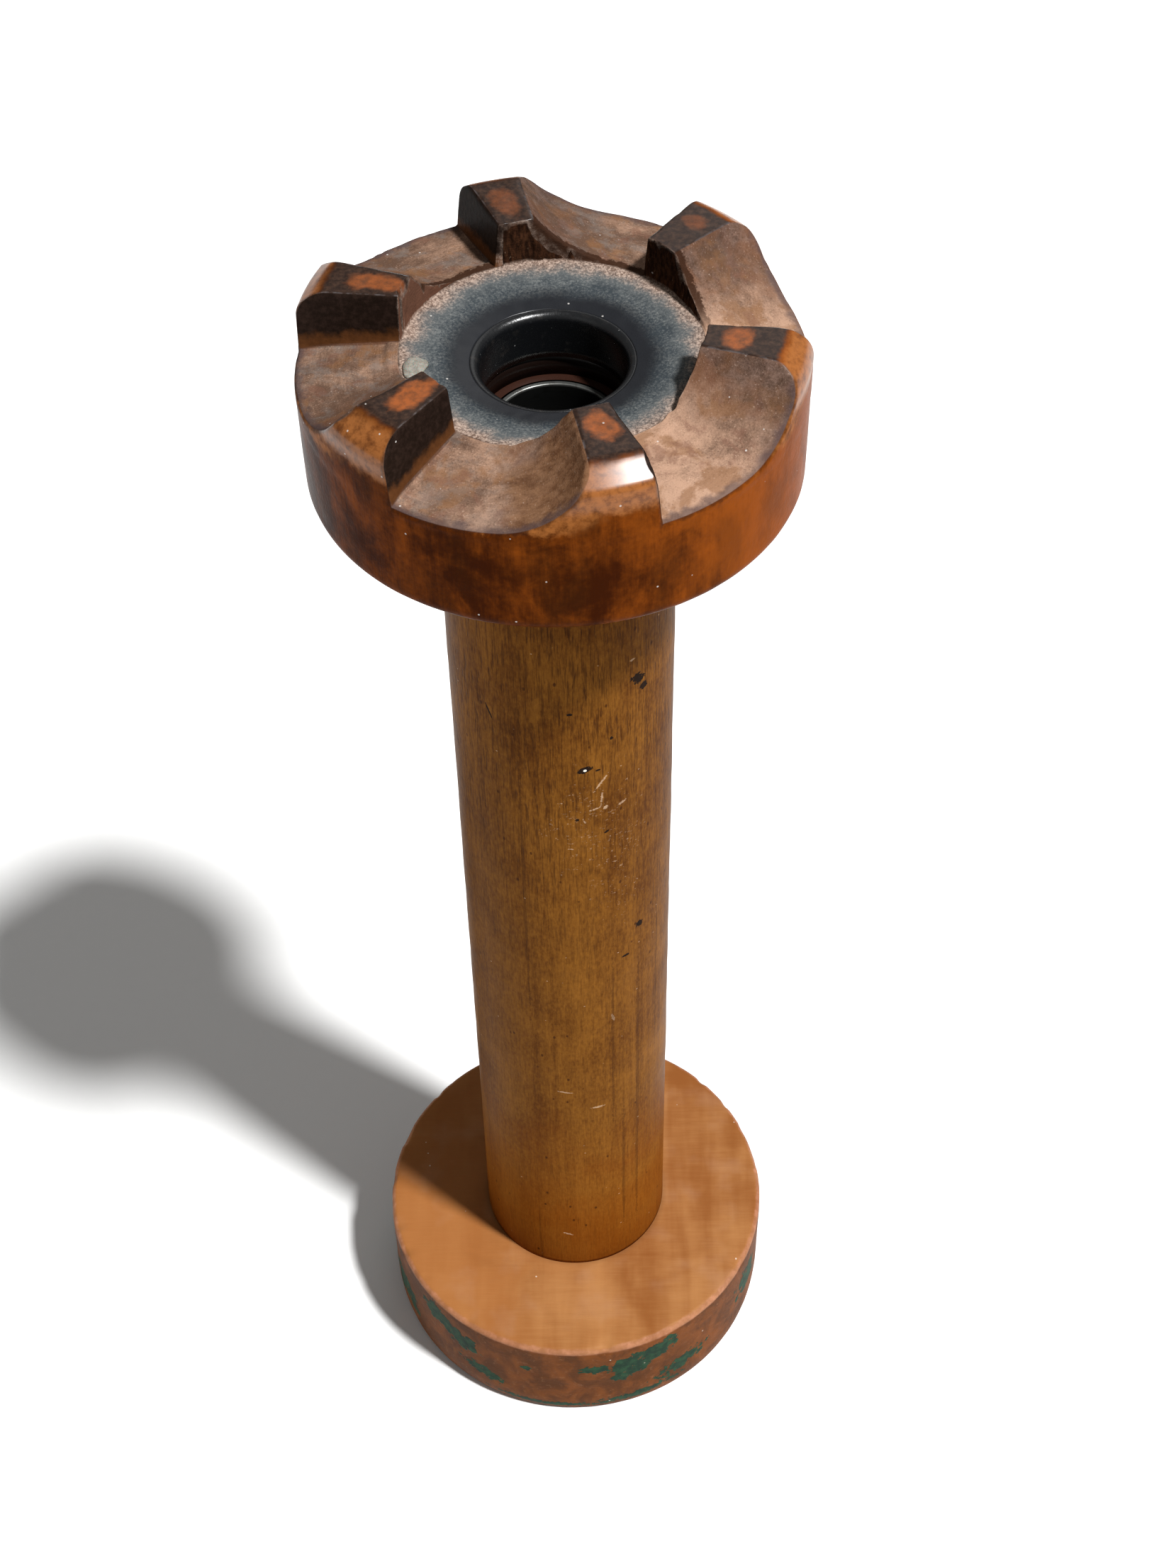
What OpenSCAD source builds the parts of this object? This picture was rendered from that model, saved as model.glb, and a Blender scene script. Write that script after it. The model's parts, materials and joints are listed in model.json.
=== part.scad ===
// Wooden candlestick made from a textile mill bobbin.
// A toothed crown flange, a bored barrel and a base flange, all turned in wood,
// with a blackened steel ferrule in the mouth and two steel spindle bushes.
// The axis is Z, the foot stands on Z = 0 and all sizes are in millimetres.

/* [Base flange] */
// Diameter of the base flange
base_d = 81.6; // [68:0.1:100]
// Thickness of the base flange
base_h = 26.3; // [21:0.1:36]
// How far its worn lower edge is rounded inwards
base_foot_in = 1.6; // [0.5:0.1:4]
// How far up its side that rounding reaches
base_foot_up = 6.8; // [1:0.1:9]
// Rounding of its upper edge
base_top_r = 1.2; // [0.4:0.1:3]

/* [Barrel] */
// Diameter of the barrel
barrel_d = 38.5; // [35:0.5:50]
// Length of barrel that shows between the flanges
barrel_len = 207.5; // [120:0.5:300]
// Diameter of the tenons that enter the flanges
tenon_d = 30; // [27:0.5:34]
// Length of the tenon that is glued into the crown
crown_tenon_len = 8.2; // [6:0.1:10]
// Length of the tenon that is glued into the base
base_tenon_len = 18; // [10:0.5:20]

/* [Crown flange] */
// Diameter of the crown flange
crown_d = 78; // [64:0.5:94]
// Height of the crown flange, from its underside to the tops of its teeth
crown_h = 29.2; // [27:0.1:38]
// Rounding of its lower edge
crown_foot_r = 2.5; // [1:0.5:5]
// Rounding of the outer shoulders of its teeth
shoulder_r = 5; // [2:0.5:7]
// Diameter of the recess inside the teeth
recess_d = 46.4; // [34:0.1:52]
// Depth of that recess below the tops of the teeth, at its edge
recess_depth = 7.7; // [6:0.1:9]
// How much further its floor dips towards the mouth
recess_dish = 1.6; // [0:0.1:2.4]

/* [Ratchet teeth] */
// Number of teeth
teeth = 6; // [5:1:8]
// Direction of the first tooth's steep face, in degrees from X
first_face = 54.2; // [0:0.1:60]
// Lean of the steep faces, in degrees
face_lean = 6; // [0:1:12]
// Width of the tops of the teeth, in degrees round the axis
crest_angle = 10; // [5:0.5:16]
// How far the gullet floors fall from the recess to the rim
rim_drop = 3.2; // [1:0.1:5]
// Radius of the hollow ramps
ramp_r = 18; // [14:0.5:24]
// How far a ramp runs askew to the edge of the top above it, in degrees
ramp_skew = 6; // [-4:0.5:10]

/* [Mouth and bushes] */
// Diameter of the candle socket
mouth_d = 22.4; // [18:0.1:27]
// Wall of the mouth ferrule
ferrule_wall = 1.4; // [1:0.1:1.8]
// Length of the mouth ferrule
ferrule_len = 8; // [6:0.1:9]
// Diameter of the spindle bore in both bushes
spindle_d = 18.2; // [15:0.1:22]
// Wall of the bushes
bush_wall = 1.3; // [1.2:0.1:1.8]
// Length of each bush
bush_len = 30; // [15:0.5:50]
// How much wider the barrel's bore is than the spindle bore
bore_relief = 1.4; // [0.4:0.1:2]
// How much wider the bare wood beyond each bush is than the bush
throat_relief = 2.4; // [1:0.1:4]

/* [Hidden] */
$fn = 96;

// Heights, from the foot up
crown_z = base_h + barrel_len;
top_z = crown_z + crown_h;
recess_z = top_z - recess_depth;
mouth_z = recess_z - recess_dish;
ferrule_z = mouth_z - ferrule_len;
crown_tenon_z = crown_z + crown_tenon_len;
base_tenon_z = base_h - base_tenon_len;

// Radii
crown_r = crown_d / 2;
recess_r = recess_d / 2;
ferrule_r = mouth_d / 2 + ferrule_wall;
bore_r = (spindle_d + bore_relief) / 2;
bush_r = spindle_d / 2 + bush_wall;
throat_r = bush_r + throat_relief / 2;

// Angle from one tooth to the next
pitch = 360 / teeth;
// Radius midway between the recess and the rim, and the teeth's height there
mid_r = (crown_r + recess_r) / 2;
tooth_rise = recess_depth + rim_drop / 2;
// Slope of the gullet floors, which fall from the recess to the rim
floor_tilt = atan(rim_drop / (crown_r - recess_r));
// How far the lean of a steep face takes its top edge back, in degrees
face_shift = asin(tooth_rise * tan(face_lean) / mid_r);
// Direction of the other edge of a tooth's top, and of the ramp that rises to it
edge_turn = pitch - crest_angle - face_shift;
ramp_turn = edge_turn - ramp_skew;
// Length of a ramp along the floor, and how far from the axis' line it starts
ramp_run = sqrt(ramp_r ^ 2 - (ramp_r - tooth_rise) ^ 2);
ramp_start = ramp_run - mid_r * sin(ramp_skew);

// Spare length of a cutting shape past the surface that it cuts
past = 1;
// A length that is longer than any part of the crown
reach = crown_d;
// Steps along a rounded edge
round_steps = 6;

// Points along a round or oval edge about a centre, from one angle to another
function edge(centre, radii, from, to) = [
    for (i = [0:round_steps])
        let (a = from + (to - from) * i / round_steps)
        [centre[0] + radii[0] * cos(a), centre[1] + radii[1] * sin(a)]
];

// A round bar or hole about the axis, from one height up to another
module round_bar(r, z_low, z_high) {
    translate([0, 0, z_low])
        cylinder(r = r, h = z_high - z_low);
}

// The crown as it leaves the lathe, before the teeth are cut
module crown_blank() {
    rotate_extrude()
        polygon(concat(
            [[0, crown_z]],
            edge([crown_r - crown_foot_r, crown_z + crown_foot_r], [crown_foot_r, crown_foot_r], -90, 0),
            edge([crown_r - shoulder_r, top_z - shoulder_r], [shoulder_r, shoulder_r], 0, 90),
            [
                [recess_r, top_z],
                [recess_r, recess_z],
                [ferrule_r, mouth_z],
                [0, mouth_z],
            ]
        ));
}

// Section of a gullet: a flat floor, then a hollow ramp that rises to the tooth's top
module gullet_section() {
    translate([-reach, 0])
        square([reach - ramp_start, reach]);
    translate([-ramp_start, ramp_r])
        circle(r = ramp_r);
}

// What is cut away between a steep face, along X, and the top of the next tooth
module gullet() {
    intersection() {
        // the floor and the ramp, which run outwards and down
        translate([recess_r, 0, recess_z])
            rotate([0, floor_tilt, 0])
                translate([-recess_r, 0, 0])
                    rotate([90, 0, 90 + ramp_turn])
                        linear_extrude(height = reach)
                            gullet_section();
        // nothing behind the steep face
        translate([0, 0, recess_z - rim_drop])
            rotate([face_lean, 0, 0])
                translate([0, 0, -reach / 2])
                    cube([reach, reach, reach]);
        // nothing past the next steep face
        rotate([0, 0, pitch])
            translate([0, -reach, recess_z - reach / 2])
                cube([reach, reach, reach]);
    }
}

module crown_flange() {
    color("saddlebrown")
        difference() {
            crown_blank();
            for (i = [0:teeth - 1])
                rotate([0, 0, first_face + i * pitch])
                    gullet();
            round_bar(ferrule_r, ferrule_z, mouth_z + past);
            round_bar(throat_r, crown_tenon_z - past, ferrule_z + past);
            round_bar(tenon_d / 2, crown_z - past, crown_tenon_z);
        }
}

module barrel() {
    color("peru")
        difference() {
            union() {
                round_bar(barrel_d / 2, base_h, crown_z);
                round_bar(tenon_d / 2, base_tenon_z, crown_tenon_z);
            }
            round_bar(bore_r, base_tenon_z, crown_tenon_z);
            // the seats of the two bushes, which end flush with the tenons
            round_bar(bush_r, crown_tenon_z - bush_len, crown_tenon_z + past);
            round_bar(bush_r, base_tenon_z - past, base_tenon_z + bush_len);
        }
}

module base_flange() {
    base_r = base_d / 2;
    color("sienna")
        difference() {
            rotate_extrude()
                polygon(concat(
                    [[0, 0]],
                    edge([base_r - base_foot_in, base_foot_up], [base_foot_in, base_foot_up], -90, 0),
                    edge([base_r - base_top_r, base_h - base_top_r], [base_top_r, base_top_r], 0, 90),
                    [[0, base_h]]
                ));
            round_bar(throat_r, -past, base_tenon_z + past);
            round_bar(tenon_d / 2, base_tenon_z, base_h + past);
        }
}

// The ferrule's lip is rounded over, from the bore out to the wood round it
module mouth_ferrule() {
    color("dimgray")
        rotate_extrude()
            polygon(concat(
                [[mouth_d / 2, ferrule_z], [ferrule_r, ferrule_z]],
                edge([ferrule_r, mouth_z - ferrule_wall], [ferrule_wall, ferrule_wall], 90, 180)
            ));
}

// A plain steel tube with its lower end at a height
module bush(z_low) {
    color("silver")
        difference() {
            round_bar(bush_r, z_low, z_low + bush_len);
            round_bar(spindle_d / 2, z_low - past, z_low + bush_len + past);
        }
}

module upper_bush() {
    bush(crown_tenon_z - bush_len);
}

module lower_bush() {
    bush(base_tenon_z);
}

crown_flange();
barrel();
base_flange();
mouth_ferrule();
upper_bush();
lower_bush();
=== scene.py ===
import json
import math

import bpy
import numpy as np
from bpy.props import FloatProperty, FloatVectorProperty, IntProperty, PointerProperty
from mathutils import Matrix, Vector

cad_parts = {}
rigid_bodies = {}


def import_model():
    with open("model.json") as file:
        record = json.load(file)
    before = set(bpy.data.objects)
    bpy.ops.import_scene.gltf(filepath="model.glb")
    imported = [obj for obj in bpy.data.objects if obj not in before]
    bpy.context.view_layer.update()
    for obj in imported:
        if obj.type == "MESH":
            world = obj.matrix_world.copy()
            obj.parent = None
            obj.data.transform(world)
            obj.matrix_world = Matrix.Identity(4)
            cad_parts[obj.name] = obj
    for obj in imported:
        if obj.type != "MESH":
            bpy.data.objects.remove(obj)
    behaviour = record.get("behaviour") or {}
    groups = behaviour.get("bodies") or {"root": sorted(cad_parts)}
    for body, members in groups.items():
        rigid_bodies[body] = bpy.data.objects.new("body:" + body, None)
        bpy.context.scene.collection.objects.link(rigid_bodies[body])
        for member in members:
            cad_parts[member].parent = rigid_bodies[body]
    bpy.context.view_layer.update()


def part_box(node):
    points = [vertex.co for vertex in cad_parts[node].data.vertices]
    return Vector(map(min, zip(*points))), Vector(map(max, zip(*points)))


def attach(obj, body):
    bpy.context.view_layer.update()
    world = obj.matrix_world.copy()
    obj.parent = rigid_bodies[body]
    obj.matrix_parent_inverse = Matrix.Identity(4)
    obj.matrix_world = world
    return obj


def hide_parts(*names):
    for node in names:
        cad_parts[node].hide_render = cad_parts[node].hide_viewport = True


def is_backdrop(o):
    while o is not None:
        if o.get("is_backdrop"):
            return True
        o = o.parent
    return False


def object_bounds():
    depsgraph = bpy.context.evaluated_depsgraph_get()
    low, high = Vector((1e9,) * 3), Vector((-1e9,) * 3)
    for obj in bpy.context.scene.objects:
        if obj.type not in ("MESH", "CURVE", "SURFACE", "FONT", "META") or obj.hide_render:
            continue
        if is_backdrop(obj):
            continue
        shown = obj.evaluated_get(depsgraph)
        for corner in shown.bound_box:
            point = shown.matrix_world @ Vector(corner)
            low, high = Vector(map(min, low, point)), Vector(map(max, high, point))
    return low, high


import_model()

bl_info = {
    "name": "Mill bobbin candlestick",
    "version": (1, 0, 0),
    "blender": (4, 5, 0),
    "location": "3D View > Sidebar > Candlestick",
    "description": "Builds a bobbin candlestick: worn wood, steel fittings and its studio",
    "category": "Object",
}

MM = 0.001
BODY = "root"


def node_box(node):
    """Lowest and highest corner of a fixed piece, in millimetres."""
    low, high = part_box(node)
    return [v / MM for v in low], [v / MM for v in high]


CROWN_LOW, CROWN_HIGH = node_box("crown_flange")
BARREL_LOW, BARREL_HIGH = node_box("barrel")
FOOT_LOW, FOOT_HIGH = node_box("base_flange")
FERRULE_LOW, FERRULE_HIGH = node_box("mouth_ferrule")
UPPER_LOW, UPPER_HIGH = node_box("upper_bush")
LOWER_LOW, LOWER_HIGH = node_box("lower_bush")


# ---------------------------------------------------------------- settings

def length(name, description, mm):
    return FloatProperty(
        name=name, description=description, default=mm * MM, min=0.0,
        unit="LENGTH", subtype="DISTANCE", precision=5,
    )


def angle(name, description, degrees):
    return FloatProperty(
        name=name, description=description, default=math.radians(degrees),
        unit="ROTATION", subtype="ANGLE",
    )


def linear(red, green, blue):
    """A colour given in the 0 to 255 steps of a paint chart, as linear light."""
    def one(v):
        v /= 255
        return v / 12.92 if v <= 0.04045 else ((v + 0.055) / 1.055) ** 2.4
    return one(red), one(green), one(blue)


def colour(name, description, red, green, blue):
    return FloatVectorProperty(
        name=name, description=description, default=linear(red, green, blue),
        size=3, min=0.0, max=1.0, subtype="COLOR",
    )


def share(name, description, value, high=1.0):
    return FloatProperty(
        name=name, description=description, default=value, min=0.0, max=high, subtype="FACTOR",
    )


class CrownSettings(bpy.types.PropertyGroup):
    teeth: IntProperty(name="Teeth", description="Number of ratchet teeth", default=6, min=3)
    first_face: angle("First face", "Direction of the first steep face from the X axis", 54.2)
    face_lean: angle("Face lean", "How far the steep faces lean back", 6.0)
    crest_angle: angle("Crest angle", "Width of a tooth's top round the axis", 10.0)
    recess_radius: length("Recess radius", "Radius of the recess inside the teeth", 23.2)
    recess_depth: length("Recess depth", "Depth of the recess below the teeth's tops", 7.7)
    recess_dish: length("Recess dish", "How much the recess floor dips towards the mouth", 1.6)
    rim_drop: length("Rim drop", "How far the gullet floors fall towards the rim", 3.2)
    ramp_radius: length("Ramp radius", "Radius of the hollow ramps", 18.0)
    ramp_skew: angle("Ramp skew", "How far a ramp runs askew to the top's edge", 6.0)
    shoulder: length("Shoulder", "Rounding of the teeth's outer shoulders", 5.0)
    foot_round: length("Lower edge", "Rounding of the crown's lower edge", 2.5)
    edge_wear: length("Edge wear", "Rounding that wear has given the cut edges", 0.55)
    ragged: length("Ragged edge", "Depth of the torn fibres along the recess", 0.45)
    tenon_radius: length("Tenon radius", "Radius of the barrel's tenon", 15.0)
    throat_radius: length("Throat radius", "Radius of the bare bore below the ferrule", 11.6)
    varnish_light: colour("Light varnish", "Thin varnish on the side", 128, 63, 12)
    varnish_dark: colour("Dark varnish", "Thick varnish on the side", 52, 19, 2)
    bare_light: colour("Light bare wood", "Clean cut wood in the gullets", 176, 141, 118)
    bare_dark: colour("Dark bare wood", "Dirty cut wood in the gullets", 92, 70, 57)
    rubbed: colour("Rubbed wood", "Wood rubbed bright on the teeth", 148, 80, 38)
    grime: colour("Grime", "Old grime on the edges and steep faces", 36, 23, 17)
    soot: colour("Soot", "Soot round the mouth", 56, 62, 66)
    ash: colour("Ash", "Pale dust in the soot", 122, 124, 122)


class BarrelSettings(bpy.types.PropertyGroup):
    bore_radius: length("Bore radius", "Radius of the bore between the bushes", 9.8)
    tenon_radius: length("Tenon radius", "Radius of both tenons", 15.0)
    light: colour("Light wood", "Light streaks of the barrel", 128, 82, 28)
    dark: colour("Dark wood", "Dark streaks of the barrel", 78, 42, 9)
    warm: colour("Warm wood", "Redder wood near the foot", 130, 68, 14)
    fleck: colour("Flecks", "Short dark rays of the grain", 56, 28, 8)
    chip: colour("Chips", "Dark filled dents", 24, 18, 16)
    scuff: colour("Scuffs", "Pale scuffs in the varnish", 205, 175, 145)


class FootSettings(bpy.types.PropertyGroup):
    tenon_radius: length("Tenon radius", "Radius of the barrel's tenon", 15.0)
    bore_radius: length("Bore radius", "Radius of the hole in the underside", 11.6)
    edge_in: length("Lower edge in", "How far the worn lower edge is rounded inwards", 1.6)
    edge_up: length("Lower edge up", "How far up that rounding reaches", 6.8)
    top_round: length("Upper edge", "Rounding of the upper edge", 1.2)
    light: colour("Light wood", "Light bands of the top", 166, 116, 70)
    dark: colour("Dark wood", "Dark bands of the top", 130, 78, 38)
    side: colour("Side", "Worn varnish on the side", 112, 62, 24)
    side_dark: colour("Dark side", "Dirty varnish on the side", 80, 45, 19)
    edge: colour("Worn edge", "Rubbed upper edge", 196, 140, 118)
    paint: colour("Paint", "Old green paint", 38, 68, 46)


class MetalSettings(bpy.types.PropertyGroup):
    lip: length("Lip", "Rounding of the ferrule's lip", 1.4)
    rim: length("Rim", "Rounding of a bush's rim", 0.25)
    wall: length("Bush wall", "Wall of a bush", 1.3)
    black: colour("Black", "Black finish of the ferrule", 16, 17, 19)
    steel: colour("Steel", "Bare steel of the bushes", 118, 119, 116)
    rust: colour("Dirt", "Dirt on the steel", 60, 50, 42)


class WaxSettings(bpy.types.PropertyGroup):
    radius: length("Distance", "Distance of the wax from the axis", 20.9)
    azimuth: angle("Direction", "Direction of the wax from the X axis", -170.5)
    long_side: length("Length", "Length of the drop of wax", 5.0)
    short_side: length("Width", "Width of the drop of wax", 4.2)
    thickness: length("Thickness", "Thickness of the drop of wax", 0.5)
    colour: colour("Wax", "Old translucent wax", 122, 118, 108)


class StageSettings(bpy.types.PropertyGroup):
    camera: FloatVectorProperty(
        name="Camera", description="Place of the camera", size=3,
        default=(0.0077, -0.2867, 0.4732), unit="LENGTH", subtype="TRANSLATION")
    aim: FloatVectorProperty(
        name="Aim", description="Point in the middle of the picture", size=3,
        default=(0.0042, 0.0, 0.1588), unit="LENGTH", subtype="TRANSLATION")
    roll: angle("Roll", "Turn of the camera about its own axis", -0.94)
    lens: FloatProperty(
        name="Lens", description="Focal length for a 36 mm wide film", default=54.2,
        unit="CAMERA", min=1.0)
    floor: colour("Floor", "Pale paper under the candlestick", 246, 246, 245)
    floor_half: length("Floor reach", "How far the paper reaches from the axis", 5000.0)
    key: share("Key", "Strength of the main lamp, in watts per square metre", 5.0, 50.0)
    key_spread: angle("Key spread", "How wide the main lamp looks from the object", 6.0)
    fill_power: FloatProperty(
        name="Fill power", description="Power of the back lamp, and twice that of the fill lamp",
        default=1.1, unit="POWER", min=0.0)
    fill: share("Fill", "Strength of the white room round the object", 0.18, 5.0)


# ---------------------------------------------------------------- mesh tools

def value_noise(points, size, seed):
    """Smooth noise from -1 to 1 at each point, with features about as large as size."""
    p = np.asarray(points, float) / size + 137.0 * seed
    cell = np.floor(p).astype(np.int64)
    part = p - cell
    part = part * part * (3 - 2 * part)
    total = np.zeros(p.shape[:-1])
    for dx in (0, 1):
        for dy in (0, 1):
            for dz in (0, 1):
                key = ((cell[..., 0] + dx) * 73856093) ^ ((cell[..., 1] + dy) * 19349663)
                key ^= (cell[..., 2] + dz) * 83492791 + seed * 2654435
                key = (key ^ (key >> 13)) * 1274126177 & 0x7FFFFFFF
                corner = (key ^ (key >> 16)) % 65536 / 32768.0 - 1
                weight = (part[..., 0] if dx else 1 - part[..., 0])
                weight = weight * (part[..., 1] if dy else 1 - part[..., 1])
                weight = weight * (part[..., 2] if dz else 1 - part[..., 2])
                total += weight * corner
    return total


def round_max(a, b, r):
    """The larger of two distances, with the edge where they meet rounded by r."""
    u = np.maximum(a + r, 0)
    v = np.maximum(b + r, 0)
    return np.minimum(-r, np.maximum(a, b)) + np.hypot(u, v)


def around(r, a, z):
    """Points at a radius, an angle and a height."""
    return np.stack([r * np.cos(a), r * np.sin(a), z], axis=-1)


def piece(name, mesh, slot_name, material, *nodes):
    """Links a finished mesh as one visible piece of the candlestick."""
    for old in [o for o in bpy.data.objects if o.name == name]:
        bpy.data.objects.remove(old)
    made = bpy.data.objects.new(name, mesh)
    bpy.context.scene.collection.objects.link(made)
    mesh.materials.clear()
    mesh.materials.append(material)
    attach(made, BODY)
    if nodes:
        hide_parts(*nodes)
    return made


def ring_mesh(name, points, attributes=None):
    """A closed skin from rows of points round the axis, each row and the stack of rows a loop."""
    points = np.asarray(points, float) * MM
    rows, columns = points.shape[:2]
    index = np.arange(rows * columns).reshape(rows, columns)
    right = np.roll(index, -1, axis=1)
    up = np.roll(index, -1, axis=0)
    both = np.roll(up, -1, axis=1)
    faces = np.stack([index, right, both, up], axis=-1).reshape(-1, 4)
    mesh = bpy.data.meshes.new(name)
    mesh.from_pydata(points.reshape(-1, 3).tolist(), [], faces.tolist())
    mesh.validate()
    for key, values in (attributes or {}).items():
        layer = mesh.attributes.new(key, "FLOAT_VECTOR", "POINT")
        layer.data.foreach_set("vector", np.asarray(values, np.float32).reshape(-1))
    mesh.shade_smooth()
    mesh.update()
    return mesh


def lathe(profile, columns, shape=None):
    """Rows of points from a closed profile of (radius, height), run once round the axis."""
    turn = np.linspace(0, 2 * math.pi, columns, endpoint=False)
    profile = np.asarray(profile, float)
    r = np.repeat(profile[:, :1], columns, axis=1)
    z = np.repeat(profile[:, 1:], columns, axis=1)
    a = np.repeat(turn[None, :], len(profile), axis=0)
    if shape is not None:
        r, z = shape(r, z, a)
    return around(r, a, z)


def run(start, end, step):
    """Points along a straight stretch of a profile, its end left out."""
    start, end = np.asarray(start, float), np.asarray(end, float)
    count = max(1, int(round(np.linalg.norm(end - start) / step)))
    return [tuple(start + (end - start) * i / count) for i in range(count)]


def bend(centre, radii, first, last, steps):
    """Points along a round edge of a profile, between two angles in degrees, its end left out."""
    (x, z), (wide, high) = centre, radii
    angles = np.radians(np.linspace(first, last, steps, endpoint=False))
    return [(x + wide * math.cos(a), z + high * math.sin(a)) for a in angles]


# ---------------------------------------------------------------- material tools

class Value:
    """A number that a finish works out at each point. Sums of them are written as formulas."""

    def __init__(self, finish, socket):
        self.finish, self.socket = finish, socket

    def __add__(self, other):
        return self.finish.maths("ADD", self, other)

    def __sub__(self, other):
        return self.finish.maths("SUBTRACT", self, other)

    def __rsub__(self, other):
        return self.finish.maths("SUBTRACT", other, self)

    def __mul__(self, other):
        return self.finish.maths("MULTIPLY", self, other)


class Finish:
    """One material, laid out step by step from its own nodes."""

    def __init__(self, name):
        old = bpy.data.materials.get(name)
        if old:
            bpy.data.materials.remove(old)
        self.material = bpy.data.materials.new(name)
        self.material.use_nodes = True
        self.tree = self.material.node_tree
        self.tree.nodes.clear()
        self.column = 0
        place = self.node("ShaderNodeTexCoord").outputs["Object"]
        self.place = self.scaled(place, (1 / MM, 1 / MM, 1 / MM))
        self.x, self.y, self.z = self.split(self.place)
        self.r = self.far(self.x, self.y)

    def node(self, kind, **settings):
        made = self.tree.nodes.new(kind)
        made.location = (180 * (self.column // 12), -160 * (self.column % 12))
        self.column += 1
        for key, value in settings.items():
            setattr(made, key, value)
        return made

    def put(self, socket, value):
        if isinstance(value, Value):
            value = value.socket
        if isinstance(value, bpy.types.NodeSocket):
            self.tree.links.new(value, socket)
        elif hasattr(socket.default_value, "__len__"):
            value = tuple(value)
            socket.default_value = value + (1.0,) * (len(socket.default_value) - len(value))
        else:
            socket.default_value = value

    def maths(self, operation, a, b=0.0):
        made = self.node("ShaderNodeMath", operation=operation)
        self.put(made.inputs[0], a)
        self.put(made.inputs[1], b)
        return Value(self, made.outputs[0])

    def either(self, a, b):
        return self.maths("MAXIMUM", a, b)

    def far(self, a, b):
        """How far a point at a, b is from 0, 0."""
        return self.maths("SQRT", a * a + b * b)

    def step(self, value, low, high, top=1.0):
        """0 below low, top above high, and a soft rise between them. low may be above high."""
        made = self.node("ShaderNodeMapRange", interpolation_type="SMOOTHSTEP", clamp=True)
        flip = low > high
        self.put(made.inputs["Value"], value)
        self.put(made.inputs["From Min"], high if flip else low)
        self.put(made.inputs["From Max"], low if flip else high)
        self.put(made.inputs["To Min"], top if flip else 0.0)
        self.put(made.inputs["To Max"], 0.0 if flip else top)
        return Value(self, made.outputs["Result"])

    def split(self, vector):
        made = self.node("ShaderNodeSeparateXYZ")
        self.put(made.inputs[0], vector)
        return [Value(self, socket) for socket in made.outputs]

    def joined(self, x, y, z):
        made = self.node("ShaderNodeCombineXYZ")
        for socket, value in zip(made.inputs, (x, y, z)):
            self.put(socket, value)
        return made.outputs[0]

    def scaled(self, vector, factors):
        made = self.node("ShaderNodeVectorMath", operation="MULTIPLY")
        self.put(made.inputs[0], vector)
        self.put(made.inputs[1], factors)
        return made.outputs[0]

    def tall(self, factor):
        """The place with its heights scaled: below 1 makes upright grain."""
        return self.scaled(self.place, (1.0, 1.0, factor))

    def noise(self, size, detail=4.0, rough=0.6, warp=0.0, on=None):
        """Noise from 0 to 1, with features of about size in millimetres or in the units of on."""
        made = self.node("ShaderNodeTexNoise")
        self.put(made.inputs["Vector"], on or self.place)
        self.put(made.inputs["Scale"], 1.0 / size)
        self.put(made.inputs["Detail"], detail)
        self.put(made.inputs["Roughness"], rough)
        self.put(made.inputs["Distortion"], warp)
        return Value(self, made.outputs[0])

    def specks(self, vector, size, radii, picks):
        """Round specks, one in each cell that chance picks: 0 to 1 between the two radii."""
        made = self.node("ShaderNodeTexVoronoi")
        self.put(made.inputs["Vector"], vector)
        self.put(made.inputs["Scale"], 1.0 / size)
        chance = self.split(made.outputs["Color"])[0]
        return self.step(made.outputs["Distance"], *radii) * self.step(chance, *picks)

    def mix(self, amount, a, b):
        made = self.node("ShaderNodeMix", data_type="RGBA", clamp_factor=True)
        self.put(made.inputs[0], amount)
        self.put(made.inputs[6], a)
        self.put(made.inputs[7], b)
        return made.outputs[2]

    def over(self, base, *coats):
        """The base colour under coats of (amount, colour), the last on top."""
        for amount, tone in coats:
            base = self.mix(amount, base, tone)
        return base

    def attribute(self, name):
        made = self.node("ShaderNodeAttribute", attribute_name=name)
        return made.outputs["Vector"]

    def spot(self, radius, azimuth, height, half_width, half_height, ragged=0.0, turn=0.0):
        """A ragged oval on a round surface: 1 inside, 0 outside. The angles are in degrees."""
        a = math.radians(azimuth)
        along = self.x * -math.sin(a) + self.y * math.cos(a)
        front = self.x * math.cos(a) + self.y * math.sin(a)
        up = self.z - height
        c, s = math.cos(math.radians(turn)), math.sin(math.radians(turn))
        u = along * (c / half_width) + up * (s / half_width)
        v = along * (-s / half_height) + up * (c / half_height)
        far = self.far(u, v)
        if ragged:
            wander = self.noise(max(0.4, 0.8 * min(half_width, half_height)), 3.0)
            far = far + (wander - 0.5) * ragged
        inside, facing = self.step(far, 1.08, 0.92), self.step(front, 0.5 * radius, 0.6 * radius)
        return self.maths("MINIMUM", inside, facing)

    def spots(self, radius, rows):
        """Many such ovals at once."""
        made = self.spot(radius, *rows[0])
        for row in rows[1:]:
            made = self.either(made, self.spot(radius, *row))
        return made

    def bump(self, height, depth, strength):
        made = self.node("ShaderNodeBump")
        self.put(made.inputs["Strength"], strength)
        self.put(made.inputs["Distance"], depth * MM)
        self.put(made.inputs["Height"], height)
        return made.outputs[0]

    def surface(self, **sockets):
        """The shader itself. Every name is one of its sockets, with _ for a space."""
        shader = self.node("ShaderNodeBsdfPrincipled")
        for key, value in sockets.items():
            self.put(shader.inputs[key.replace("_", " ")], value)
        out = self.node("ShaderNodeOutputMaterial")
        self.tree.links.new(shader.outputs[0], out.inputs[0])
        return self.material


# ---------------------------------------------------------------- finishes

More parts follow.
